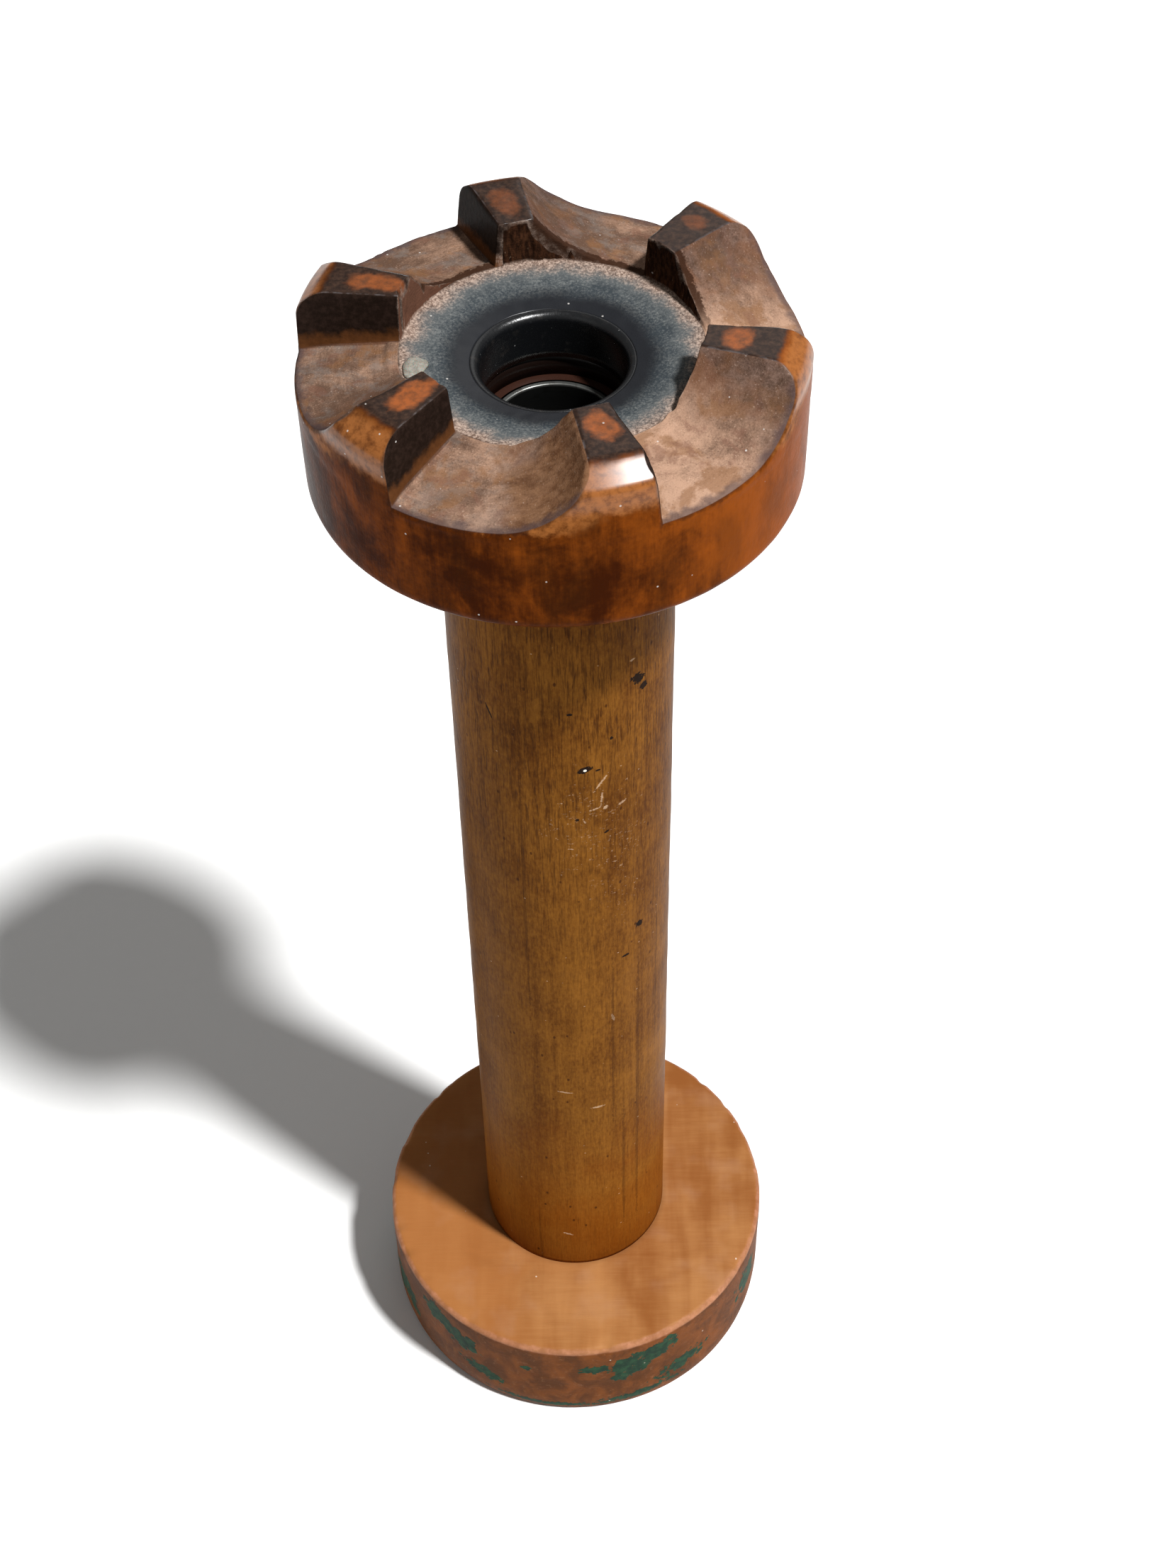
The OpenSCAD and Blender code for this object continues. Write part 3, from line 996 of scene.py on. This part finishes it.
def crown_mesh(c):
    """The crown in rows round the axis: up its side, over the cut top, into the recess and bore."""
    s = CrownShape(c)
    degrees = crown_columns(math.degrees(s.pitch), 3.6)
    base = np.radians(degrees)
    per_tooth = len(base)
    wrapped = np.where(base > s.pitch / 2, base - s.pitch, base)
    hold = np.clip((math.radians(11) - np.abs(wrapped)) / math.radians(6), 0, 1)
    hold = hold * hold * (3 - 2 * hold)

    def local_at(radius):
        """Column angles at a radius. Near a steep face they keep their distance from it."""
        near = np.arcsin(np.clip(s.middle * np.sin(wrapped) / radius, -1, 1))
        near = np.where(base > s.pitch / 2, near + s.pitch, near)
        return (1 - hold) * base + hold * near

    tooth_number = np.repeat(np.arange(s.teeth), per_tooth)
    cell = s.first + tooth_number * s.pitch
    turns = np.radians(np.linspace(90, 0, 13))
    arc = [s.rim - s.shoulder + s.shoulder * math.sin(t) for t in turns]
    radii = arc + list(np.linspace(arc[-1], s.recess + 1.3, 24))[1:]
    radii += [s.recess + d for d in (1.05, 0.82, 0.62, 0.46, 0.33, 0.23, 0.15, 0.08)]
    rows_r, rows_local, rows_z, kinds = [], [], [], []

    def add(radius, local, z, kind):
        rows_r.append(radius + np.zeros(len(cell)))
        rows_local.append(np.tile(local, s.teeth))
        rows_z.append(z + np.zeros(len(cell)))
        kinds.append(kind)

    top_z = []
    worn = np.array([WEAR[k % len(WEAR)] for k in range(s.teeth)])[tooth_number]
    oval_r, oval_half, oval_share, rubbed, bevel_depth, rise = worn.T
    for radius in radii:
        local = np.tile(local_at(radius), s.teeth)
        a = cell + local
        probe = np.full(len(cell), min(radius, s.rim - 0.02))
        z = s.top(probe, local, around(radius, a, np.full(len(a), s.high)))
        z = z + s.run_out(radius, z, rise)
        bevel = s.high - 1.0 - bevel_depth - 0.75 * (radius - s.rim + 2.0)
        z = -round_max(-z, -bevel, 0.3)
        top_z.append(np.maximum(z, s.floor if radius < s.recess + 2 else s.low))

    outer = local_at(s.rim)
    inner = local_at(s.recess)
    low_round = c.foot_round / MM
    tenon, throat, mouth = c.tenon_radius / MM, c.throat_radius / MM, FERRULE_HIGH[0]
    # up the outer side
    for r_, z_ in run((tenon, s.low), (s.rim - low_round, s.low), 3.0):
        add(r_, outer if r_ > 30 else inner, z_, "under")
    for r_, z_ in bend((s.rim - low_round, s.low + low_round), (low_round, low_round), -90, 0, 7):
        add(r_, outer, z_, "side")
    start = s.low + low_round
    for t in np.linspace(0, 1, 34, endpoint=False):
        add(s.rim, outer, start + (top_z[0] - start) * t, "side")
    # over the cut top
    for radius, z in zip(radii, top_z):
        add(radius, local_at(radius), z, "top")
    # down the torn wall to the recess floor
    edge = top_z[-1]
    for t in np.linspace(0, 1, 12)[1:]:
        add(s.recess + 0.08 - 0.2 * t, inner, edge + (s.floor - edge) * t, "wall")
    # across the dished floor to the mouth
    for r_ in list(np.linspace(s.recess - 0.5, mouth + 0.5, 22)) + [mouth + 0.2, mouth]:
        add(r_, inner, s.floor_at(r_), "floor")
    # down the bore
    ledge, tenon_top = FERRULE_LOW[2], BARREL_HIGH[2]
    for r_, z_ in ((mouth, s.mouth - 1.5), (mouth, ledge), (throat, ledge),
                   (throat, (ledge + tenon_top) / 2), (throat, tenon_top), (tenon, tenon_top)):
        add(r_, inner, z_, "bore")
    r, local, z = np.array(rows_r), np.array(rows_local), np.array(rows_z)
    a = cell[None, :] + local
    kinds = np.array(kinds)

    # hand-worn dents on the side, torn fibres on the wall, one crack at the floor's edge
    where = around(r, a, z)
    side = (kinds == "side")[:, None] & (z < s.high - 12)
    dents = 0.06 + 0.06 * value_noise(where, 9.0, 21) + 0.03 * value_noise(where, 2.5, 23)
    r = r - np.where(side, dents, 0)
    wall = (kinds == "wall")[:, None]
    height = np.clip((z - s.floor) / 2.0, 0, 1)
    r = r + np.where(wall, height * 0.16 * value_noise(where * [1, 1, 0.4], 0.7, 25), 0)
    floor = (kinds == "floor")[:, None]
    direction = np.degrees((a + math.pi) % (2 * math.pi) - math.pi)
    crack = np.exp(-((direction + 14) / 16) ** 4) * np.exp(-((r - 22.2) / 0.6) ** 2)
    z = z - np.where(floor, 2.2 * crack * (0.6 + 0.4 * value_noise(where, 1.0, 27)), 0)
    z = z + np.where(floor & (r < s.recess - 0.4), 0.05 * value_noise(where, 1.6, 29), 0)

    lift = np.where(z > s.floor - s.drop - 4, s.run_out(r, z, rise), 0)
    over, ahead, first, second = s.cuts(r, local, z - lift)
    blank = s.blank(r, z)
    keep = (kinds == "top")[:, None] | (kinds == "side")[:, None]
    nearest = np.where(keep, np.maximum(first, second), -5)
    cut = np.stack([np.where(keep, blank, 0), nearest, np.clip(over - ahead, -4, 4)], -1)
    to_ramp, to_face = np.clip(-first, 0, 30), np.clip(-second, 0, 30)
    across = (to_ramp - to_face) / (to_ramp + to_face + 0.4)
    oval = np.hypot(across / oval_share, (r - oval_r) / oval_half)
    top = np.stack([np.clip(oval, 0, 4), np.broadcast_to(rubbed, r.shape), to_ramp], -1)
    sweep = np.stack([r, z, r * local + 40 * tooth_number[None, :]], -1)
    is_wall = np.where(wall & (z > s.floor + 0.25), 1.0, 0.0)
    climb = np.clip(local / s.pitch, 0, 1) + np.zeros(r.shape)
    zone = np.stack([is_wall, climb, np.zeros(r.shape)], -1)
    finish_at = {"cut": cut, "top": top, "sweep": sweep, "zone": zone}
    return ring_mesh("crown", around(r, a, z), finish_at)


# ---------------------------------------------------------------- turned pieces

def barrel_mesh(c):
    """The barrel with both tenons and its bore, slightly uneven as a hand-fed lathe leaves it."""
    outer, tenon, bore = BARREL_HIGH[0], c.tenon_radius / MM, c.bore_radius / MM
    low, high = BARREL_LOW[2], BARREL_HIGH[2]
    foot, head = FOOT_HIGH[2], CROWN_LOW[2]
    profile = run((bore, high), (bore, low), 12.0) + run((bore, low), (tenon, low), 3.0)
    profile += run((tenon, low), (tenon, foot), 6.0) + run((tenon, foot), (outer, foot), 1.5)
    profile += run((outer, foot), (outer, head), 0.9) + run((outer, head), (tenon, head), 1.5)
    profile += run((tenon, head), (tenon, high), 3.0) + run((tenon, high), (bore, high), 3.0)

    def uneven(r, z, a):
        where = around(r, a, z)
        skin = (r > outer - 0.1) & (z > foot + 0.5) & (z < head - 0.5)
        worn = 0.04 + 0.05 * value_noise(where, 14.0, 31) + 0.025 * value_noise(where, 3.0, 33)
        worn += 0.02 * np.sin(z / 2.3 + 2 * value_noise(where, 20.0, 35))
        return r - np.where(skin, worn, 0), z

    return ring_mesh("barrel", lathe(profile, 300, uneven))


def foot_mesh(c):
    """The foot flange: a worn lower edge, a nicked upper edge and the seat of the tenon."""
    rim, low, high = FOOT_HIGH[0], FOOT_LOW[2], FOOT_HIGH[2]
    tenon, bore = c.tenon_radius / MM, c.bore_radius / MM
    side_in, up, top_round = c.edge_in / MM, c.edge_up / MM, c.top_round / MM
    seat = BARREL_LOW[2]
    profile = run((bore, low), (rim - side_in, low), 1.5)
    profile += bend((rim - side_in, low + up), (side_in, up), -90, 0, 12)
    profile += run((rim, low + up), (rim, high - top_round), 0.7)
    profile += bend((rim - top_round, high - top_round), (top_round, top_round), 0, 90, 9)
    profile += run((rim - top_round, high), (tenon, high), 0.9)
    profile += run((tenon, high), (tenon, seat), 4.0) + run((tenon, seat), (bore, seat), 2.0)
    profile += run((bore, seat), (bore, low), 3.0)

    def worn(r, z, a):
        where = around(r, a, z)
        edge = np.exp(-((r - rim) ** 2 + (z - high) ** 2) / 3.0)
        nicks = np.maximum(0, value_noise(where, 3.2, 41) - 0.15) * 0.8 + 0.15
        out = r > rim - 3
        dents = 0.05 + 0.06 * value_noise(where, 8.0, 43) + 0.03 * value_noise(where, 2.0, 45)
        on_top = (z > high - 0.5) & (r > tenon + 1)
        z = z - edge * nicks - np.where(on_top, 0.04 + 0.04 * value_noise(where, 10.0, 47), 0)
        return r - edge * nicks * 0.5 - np.where(out & (z > 0.2), dents, 0), z

    return ring_mesh("foot", lathe(profile, 400, worn))


def ferrule_mesh(c):
    """The ferrule: a short tube with a rounded lip, dinged inside."""
    outer, low, high = FERRULE_HIGH[0], FERRULE_LOW[2], FERRULE_HIGH[2]
    lip = c.lip / MM
    inner = outer - lip
    profile = run((inner, high - lip), (inner, low), 1.2) + run((inner, low), (outer, low), 0.7)
    profile += run((outer, low), (outer, high - 0.1), 1.5)
    profile += bend((outer - 0.1, high - 0.1), (0.1, 0.1), 0, 90, 3)
    profile += bend((outer - 0.1, high - lip), (lip - 0.1, lip), 90, 180, 12)

    def dinged(r, z, a):
        where = around(r, a, z)
        return r + 0.03 * value_noise(where, 3.0, 51) * (r < outer - 0.2), z

    return ring_mesh("ferrule", lathe(profile, 180, dinged))


def bush_mesh(name, low_corner, high_corner, c):
    """A plain tube with rounded rims."""
    outer, low, high = high_corner[0], low_corner[2], high_corner[2]
    inner, rim = outer - c.wall / MM, c.rim / MM
    profile = run((inner, high - rim), (inner, low + rim), 2.0)
    profile += bend((inner + rim, low + rim), (rim, rim), 180, 270, 4)
    profile += run((inner + rim, low), (outer - rim, low), 0.5)
    profile += bend((outer - rim, low + rim), (rim, rim), -90, 0, 4)
    profile += run((outer, low + rim), (outer, high - rim), 3.0)
    profile += bend((outer - rim, high - rim), (rim, rim), 0, 90, 4)
    profile += run((outer - rim, high), (inner + rim, high), 0.4)
    profile += bend((inner + rim, high - rim), (rim, rim), 90, 180, 4)
    return ring_mesh(name, lathe(profile, 144))


# How deep the drop's rim is sunk in the floor, the floor's slope there, and the drop's own turn
WAX_SUNK = 0.12
FLOOR_SLOPE = 0.15
WAX_TURN = math.radians(70)


def wax_mesh(c, floor):
    """A drop of wax: a leaf-shaped lens that lies on the recess floor."""
    rows, columns = 9, 40
    turn = np.linspace(0, 2 * math.pi, columns, endpoint=False)
    long_half, short_half, thick = c.long_side / MM / 2, c.short_side / MM / 2, c.thickness / MM
    outline = 1 + 0.16 * np.cos(2 * turn + 0.4) + 0.07 * np.cos(3 * turn)
    outline = outline + 0.04 * np.cos(5 * turn + 1)
    verts, faces = [(0, 0, thick)], []
    for i in range(1, rows + 1):
        t = i / rows
        up = thick * max(0.0, 1 - t ** 3.2) ** 0.6 - WAX_SUNK
        for out, a in zip(outline * t, turn):
            verts.append((long_half * out * math.cos(a), short_half * out * math.sin(a), up))
    for k in range(columns):
        n = (k + 1) % columns
        faces.append((0, 1 + k, 1 + n))
        for i in range(rows - 1):
            b = 1 + i * columns
            faces.append((b + k, b + columns + k, b + columns + n, b + n))
    faces.append(tuple(1 + (rows - 1) * columns + k for k in reversed(range(columns))))
    mesh = bpy.data.meshes.new("wax_drop")
    place = Matrix.Translation((
        c.radius * math.cos(c.azimuth), c.radius * math.sin(c.azimuth), (floor + WAX_SUNK) * MM))
    place = place @ Matrix.Rotation(c.azimuth, 4, "Z")
    place = place @ Matrix.Rotation(-math.atan(FLOOR_SLOPE), 4, "Y")
    place = place @ Matrix.Rotation(WAX_TURN, 4, "Z") @ Matrix.Scale(MM, 4)
    mesh.from_pydata([tuple(place @ Vector(v)) for v in verts], [], faces)
    mesh.validate()
    mesh.shade_smooth()
    mesh.update()
    return mesh


# ---------------------------------------------------------------- operators

class CANDLESTICK_OT_crown(bpy.types.Operator):
    """Builds the toothed crown flange with its worn edges"""
    bl_idname = "candlestick.crown"
    bl_label = "Crown flange"

    def execute(self, context):
        c = context.scene.candlestick_crown
        piece("crown", crown_mesh(c), "crown_wood", crown_finish(c), "crown_flange")
        return {"FINISHED"}


class CANDLESTICK_OT_barrel(bpy.types.Operator):
    """Builds the barrel"""
    bl_idname = "candlestick.barrel"
    bl_label = "Barrel"

    def execute(self, context):
        c = context.scene.candlestick_barrel
        piece("stem", barrel_mesh(c), "barrel_wood", barrel_finish(c), "barrel")
        return {"FINISHED"}


class CANDLESTICK_OT_foot(bpy.types.Operator):
    """Builds the foot flange with its flaked paint"""
    bl_idname = "candlestick.foot"
    bl_label = "Foot flange"

    def execute(self, context):
        c = context.scene.candlestick_foot
        piece("foot", foot_mesh(c), "base_wood", foot_finish(c), "base_flange")
        return {"FINISHED"}


class CANDLESTICK_OT_metal(bpy.types.Operator):
    """Builds the black ferrule and the two steel bushes"""
    bl_idname = "candlestick.metal"
    bl_label = "Ferrule and bushes"

    def execute(self, context):
        c = context.scene.candlestick_metal
        piece("ferrule", ferrule_mesh(c), "ferrule_steel", ferrule_finish(c), "mouth_ferrule")
        steel = bush_finish(c)
        for name, low, high, node in (
            ("bush_top", UPPER_LOW, UPPER_HIGH, "upper_bush"),
            ("bush_foot", LOWER_LOW, LOWER_HIGH, "lower_bush"),
        ):
            piece(name, bush_mesh(name, low, high, c), "bush_steel", steel, node)
        return {"FINISHED"}


class CANDLESTICK_OT_wax(bpy.types.Operator):
    """Lays the drop of old wax in the recess"""
    bl_idname = "candlestick.wax"
    bl_label = "Wax drop"

    def execute(self, context):
        c = context.scene.candlestick_wax
        floor = CrownShape(context.scene.candlestick_crown).floor_at(c.radius / MM)
        piece("wax_drop", wax_mesh(c, floor), "crown_wood", wax_finish(c))
        return {"FINISHED"}


def lamp(name, kind, power, size, offset):
    """A lamp aimed at the middle: a square one of a width, or a far one that looks that wide."""
    data = bpy.data.lights.new(name, kind)
    data.energy = power
    if kind == "SUN":
        data.angle = size
    else:
        data.size = size
    made = bpy.data.objects.new(name, data)
    made.location = MIDDLE + offset
    made.rotation_euler = (-offset).to_track_quat("-Z", "Y").to_euler()
    bpy.context.scene.collection.objects.link(made)


# The point that the lamps are aimed at, and where each lamp hangs from there
MIDDLE = Vector((0, 0, 0.14))
KEY_FROM = Vector((0.42, -0.29, 0.86))
FILL_FROM = Vector((-0.9, -0.9, 0.9))
BACK_FROM = Vector((0.3, 1.0, 0.9))
FILL_WIDTH, BACK_WIDTH = 0.9, 0.7
FLOOR_GAP = 0.0001
ROOM_WHITE = (1.0, 0.99, 0.97, 1.0)


class CANDLESTICK_OT_stage(bpy.types.Operator):
    """Lays the pale floor, hangs the soft lamps and sets the camera"""
    bl_idname = "candlestick.stage"
    bl_label = "Studio"

    def execute(self, context):
        c = context.scene.candlestick_stage
        scene = context.scene
        f = Finish("floor_paper")
        grain = f.noise(3.0)
        tone = f.mix(f.step(grain, 0.3, 0.7, 0.25), c.floor, [v * 0.97 for v in c.floor])
        paper = f.surface(Base_Color=tone, Roughness=0.9, Normal=f.bump(grain, 0.02, 0.3))
        mesh = bpy.data.meshes.new("floor")
        w = c.floor_half
        mesh.from_pydata([(-w, -w, 0), (w, -w, 0), (w, w, 0), (-w, w, 0)], [], [(0, 1, 2, 3)])
        mesh.materials.append(paper)
        floor = bpy.data.objects.new("floor", mesh)
        floor.location.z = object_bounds()[0][2] - FLOOR_GAP
        scene.collection.objects.link(floor)
        floor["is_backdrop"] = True

        lamp("key_lamp", "SUN", c.key, c.key_spread, KEY_FROM)
        lamp("fill_lamp", "AREA", c.fill_power / 2, FILL_WIDTH, FILL_FROM)
        lamp("back_lamp", "AREA", c.fill_power, BACK_WIDTH, BACK_FROM)
        world = bpy.data.worlds.new("room")
        world.use_nodes = True
        sky = world.node_tree.nodes["Background"]
        sky.inputs["Color"].default_value = ROOM_WHITE
        sky.inputs["Strength"].default_value = c.fill
        scene.world = world
        scene.view_settings.view_transform = "Standard"
        scene.view_settings.look = "None"

        data = bpy.data.cameras.new("camera")
        data.sensor_width = 36.0
        data.lens = c.lens
        data.clip_start = 0.01
        camera = bpy.data.objects.new("camera", data)
        look = (Vector(c.aim) - Vector(c.camera)).to_track_quat("-Z", "Y").to_matrix().to_4x4()
        camera.matrix_world = Matrix.Translation(c.camera) @ look @ Matrix.Rotation(c.roll, 4, "Z")
        scene.collection.objects.link(camera)
        scene.camera = camera
        return {"FINISHED"}


STEPS = (
    ("candlestick_crown", CrownSettings, CANDLESTICK_OT_crown),
    ("candlestick_barrel", BarrelSettings, CANDLESTICK_OT_barrel),
    ("candlestick_foot", FootSettings, CANDLESTICK_OT_foot),
    ("candlestick_metal", MetalSettings, CANDLESTICK_OT_metal),
    ("candlestick_wax", WaxSettings, CANDLESTICK_OT_wax),
    ("candlestick_stage", StageSettings, CANDLESTICK_OT_stage),
)


class CANDLESTICK_PT_panel(bpy.types.Panel):
    """Lists the steps and their settings"""
    bl_label = "Candlestick"
    bl_idname = "CANDLESTICK_PT_panel"
    bl_space_type = "VIEW_3D"
    bl_region_type = "UI"
    bl_category = "Candlestick"

    def draw(self, context):
        for key, group, operator in STEPS:
            box = self.layout.box()
            box.operator(operator.bl_idname)
            settings = getattr(context.scene, key)
            for field in group.__annotations__:
                box.prop(settings, field)


def register():
    for key, group, operator in STEPS:
        bpy.utils.register_class(group)
        bpy.utils.register_class(operator)
        setattr(bpy.types.Scene, key, PointerProperty(type=group))
    bpy.utils.register_class(CANDLESTICK_PT_panel)


def unregister():
    bpy.utils.unregister_class(CANDLESTICK_PT_panel)
    for key, group, operator in reversed(STEPS):
        delattr(bpy.types.Scene, key)
        bpy.utils.unregister_class(operator)
        bpy.utils.unregister_class(group)


def main():
    register()
    for _, _, operator in STEPS:
        group, name = operator.bl_idname.split(".")
        getattr(getattr(bpy.ops, group), name)()


if __name__ == "__main__":
    main()
